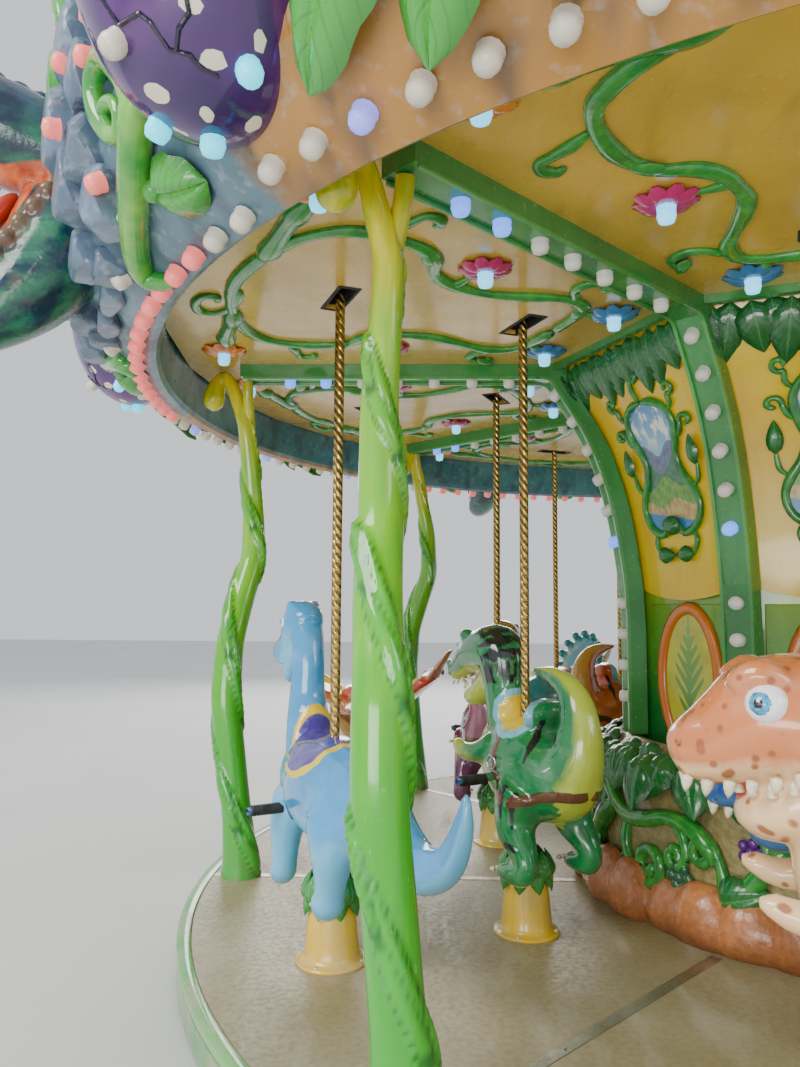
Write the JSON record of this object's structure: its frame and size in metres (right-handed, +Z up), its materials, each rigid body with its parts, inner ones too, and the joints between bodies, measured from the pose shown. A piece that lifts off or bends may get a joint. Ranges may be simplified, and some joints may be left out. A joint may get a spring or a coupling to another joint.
{
  "type": "dinosaur carousel",
  "caption": "Children's carousel: a round deck and canopy on vine-shaped columns turn about a centre post while dinosaur figures slide up and down on poles.",
  "frame": {"origin": "on the ground at the ride's vertical axis", "axes": "+Z up along the ride's axis; a column stands on +X, and the eight columns are at multiples of 45 degrees"},
  "size_m": [7.6056, 7.6056, 4.27],
  "materials": {
    "ground_steel": "satin",
    "turned_steel": "satin",
    "deck_coating": "worn",
    "green_gloss": "gloss",
    "yellow_gloss": "gloss",
    "sand_rock": "satin",
    "clay_rock": "gloss",
    "ochre_gloss": "gloss",
    "slate_rock": "gloss",
    "roof_green": "satin",
    "vine_gloss": "gloss",
    "bust_gloss": "gloss",
    "pole_brass": "polished",
    "blue_skin": "gloss",
    "tan_skin": "gloss",
    "navy_skin": "gloss",
    "teal_skin": "gloss",
    "brown_skin": "gloss",
    "green_skin": "gloss",
    "orange_skin": "gloss",
    "plum_skin": "gloss"
  },
  "bodies": {
    "ground": {"ground_frame": "ground_steel", "centre_post": "turned_steel"},
    "turntable": {"centre_tube": "turned_steel", "deck": "deck_coating", "deck_skirt": "green_gloss", "vine_column_1": "vine_gloss", "vine_column_2": "vine_gloss", "vine_column_3": "vine_gloss", "vine_column_4": "vine_gloss", "vine_column_5": "vine_gloss", "vine_column_6": "vine_gloss", "vine_column_7": "vine_gloss", "vine_column_8": "vine_gloss", "roof_frame": "green_gloss", "centre_flare": "yellow_gloss", "centre_drum": "green_gloss", "rock_base": "sand_rock", "rock_ring": "clay_rock", "ceiling": "ochre_gloss", "cornice": "slate_rock", "roof": "roof_green", "dinosaur_bust_1": "bust_gloss", "dinosaur_bust_2": "bust_gloss", "dinosaur_bust_3": "bust_gloss", "dinosaur_bust_4": "bust_gloss"},
    "rider_outer_1": {"longneck_outer_1": "blue_skin", "pole_outer_1": "pole_brass"},
    "rider_inner_1": {"tyrannosaur_inner_1": "green_skin", "pole_inner_1": "pole_brass"},
    "rider_outer_2": {"bighead_outer_2": "tan_skin", "pole_outer_2": "pole_brass"},
    "rider_inner_2": {"lowhead_inner_2": "navy_skin", "pole_inner_2": "pole_brass"},
    "rider_outer_3": {"horned_outer_3": "teal_skin", "pole_outer_3": "pole_brass"},
    "rider_inner_3": {"tyrannosaur_inner_3": "orange_skin", "pole_inner_3": "pole_brass"},
    "rider_outer_4": {"pterosaur_outer_4": "brown_skin", "pole_outer_4": "pole_brass"},
    "rider_inner_4": {"tyrannosaur_inner_4": "plum_skin", "pole_inner_4": "pole_brass"},
    "rider_outer_5": {"longneck_outer_5": "blue_skin", "pole_outer_5": "pole_brass"},
    "rider_inner_5": {"tyrannosaur_inner_5": "green_skin", "pole_inner_5": "pole_brass"},
    "rider_outer_6": {"bighead_outer_6": "tan_skin", "pole_outer_6": "pole_brass"},
    "rider_inner_6": {"lowhead_inner_6": "navy_skin", "pole_inner_6": "pole_brass"},
    "rider_outer_7": {"horned_outer_7": "teal_skin", "pole_outer_7": "pole_brass"},
    "rider_inner_7": {"tyrannosaur_inner_7": "orange_skin", "pole_inner_7": "pole_brass"},
    "rider_outer_8": {"pterosaur_outer_8": "brown_skin", "pole_outer_8": "pole_brass"},
    "rider_inner_8": {"tyrannosaur_inner_8": "plum_skin", "pole_inner_8": "pole_brass"}
  },
  "joints": [
    {"name": "ride_spin", "type": "hinge", "parent": "ground", "child": "turntable", "pos_m": [0, 0, 0], "axis": [0, 0, 1], "continuous": true},
    {"name": "rise_outer_1", "type": "slide", "parent": "turntable", "child": "rider_outer_1", "axis": [0, 0, 1], "range_m": [0, 0.22]},
    {"name": "rise_inner_1", "type": "slide", "parent": "turntable", "child": "rider_inner_1", "axis": [0, 0, 1], "range_m": [0, 0.22]},
    {"name": "rise_outer_2", "type": "slide", "parent": "turntable", "child": "rider_outer_2", "axis": [0, 0, 1], "range_m": [0, 0.22]},
    {"name": "rise_inner_2", "type": "slide", "parent": "turntable", "child": "rider_inner_2", "axis": [0, 0, 1], "range_m": [0, 0.22]},
    {"name": "rise_outer_3", "type": "slide", "parent": "turntable", "child": "rider_outer_3", "axis": [0, 0, 1], "range_m": [0, 0.22]},
    {"name": "rise_inner_3", "type": "slide", "parent": "turntable", "child": "rider_inner_3", "axis": [0, 0, 1], "range_m": [0, 0.22]},
    {"name": "rise_outer_4", "type": "slide", "parent": "turntable", "child": "rider_outer_4", "axis": [0, 0, 1], "range_m": [0, 0.22]},
    {"name": "rise_inner_4", "type": "slide", "parent": "turntable", "child": "rider_inner_4", "axis": [0, 0, 1], "range_m": [0, 0.22]},
    {"name": "rise_outer_5", "type": "slide", "parent": "turntable", "child": "rider_outer_5", "axis": [0, 0, 1], "range_m": [0, 0.22]},
    {"name": "rise_inner_5", "type": "slide", "parent": "turntable", "child": "rider_inner_5", "axis": [0, 0, 1], "range_m": [0, 0.22]},
    {"name": "rise_outer_6", "type": "slide", "parent": "turntable", "child": "rider_outer_6", "axis": [0, 0, 1], "range_m": [0, 0.22]},
    {"name": "rise_inner_6", "type": "slide", "parent": "turntable", "child": "rider_inner_6", "axis": [0, 0, 1], "range_m": [0, 0.22]},
    {"name": "rise_outer_7", "type": "slide", "parent": "turntable", "child": "rider_outer_7", "axis": [0, 0, 1], "range_m": [0, 0.22]},
    {"name": "rise_inner_7", "type": "slide", "parent": "turntable", "child": "rider_inner_7", "axis": [0, 0, 1], "range_m": [0, 0.22]},
    {"name": "rise_outer_8", "type": "slide", "parent": "turntable", "child": "rider_outer_8", "axis": [0, 0, 1], "range_m": [0, 0.22]},
    {"name": "rise_inner_8", "type": "slide", "parent": "turntable", "child": "rider_inner_8", "axis": [0, 0, 1], "range_m": [0, 0.22]}
  ]
}
